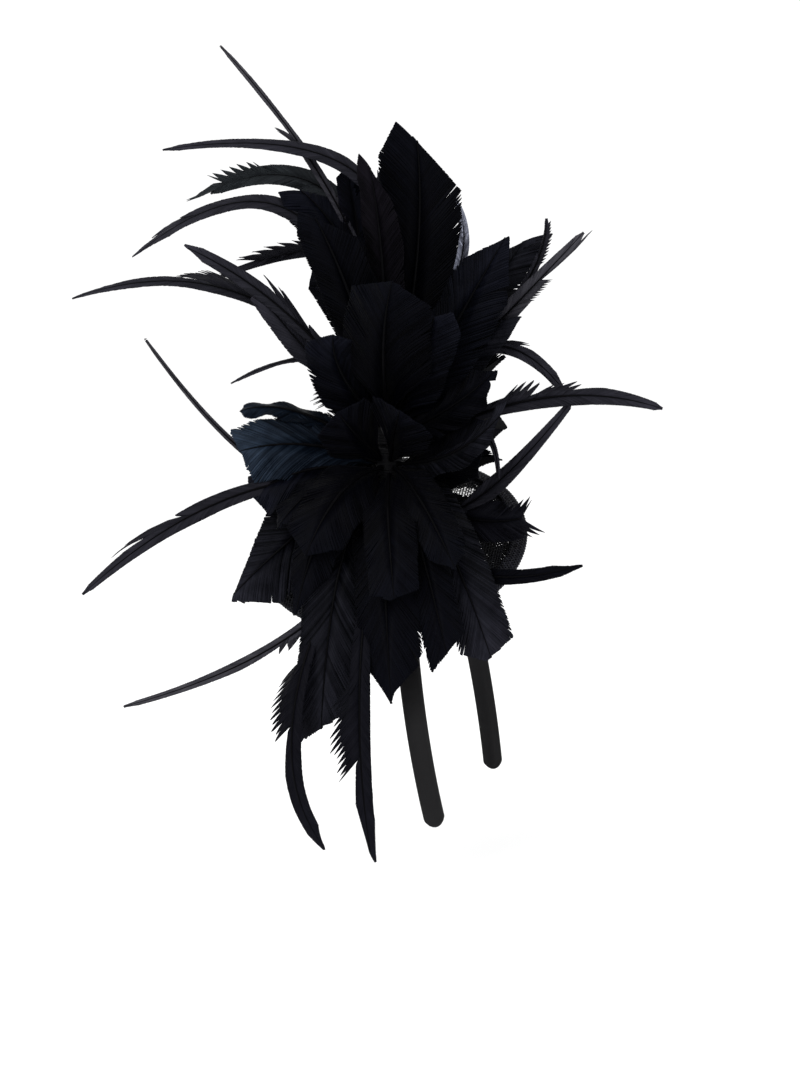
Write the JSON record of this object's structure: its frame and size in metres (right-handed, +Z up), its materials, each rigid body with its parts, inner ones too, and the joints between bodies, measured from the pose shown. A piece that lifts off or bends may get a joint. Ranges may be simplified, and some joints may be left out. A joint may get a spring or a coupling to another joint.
{
  "type": "feather fascinator headband",
  "caption": "Headband with a tilted round sinamay base and tall bunches of cut black feathers and slim trailing plumes; worn over the temple.",
  "frame": {"origin": "middle of the headband's underside at the crown of the head", "axes": "as worn: +Z up, -Y towards the wearer's face, -X towards the wearer's right ear, the side of the base"},
  "size_m": [0.1762, 0.2475, 0.3378],
  "materials": {
    "headband_satin": "black satin ribbon",
    "sinamay": "open-weave black sinamay",
    "sinamay_binding": "folded bias strip of black sinamay",
    "stem_thread": "thread-bound wire",
    "crest_feather": "dyed black feather with a dark blue and purple sheen",
    "middle_feather": "dyed black feather with a dark blue and purple sheen",
    "collar_feather": "dyed black feather with a dark blue and purple sheen"
  },
  "bodies": {
    "root": {"headband": "headband_satin", "sinamay_base": "sinamay", "base_binding": "sinamay_binding", "stem": "stem_thread", "crest_plume": "crest_feather", "middle_plume": "middle_feather", "collar_plume": "collar_feather"}
  },
  "joints": []
}
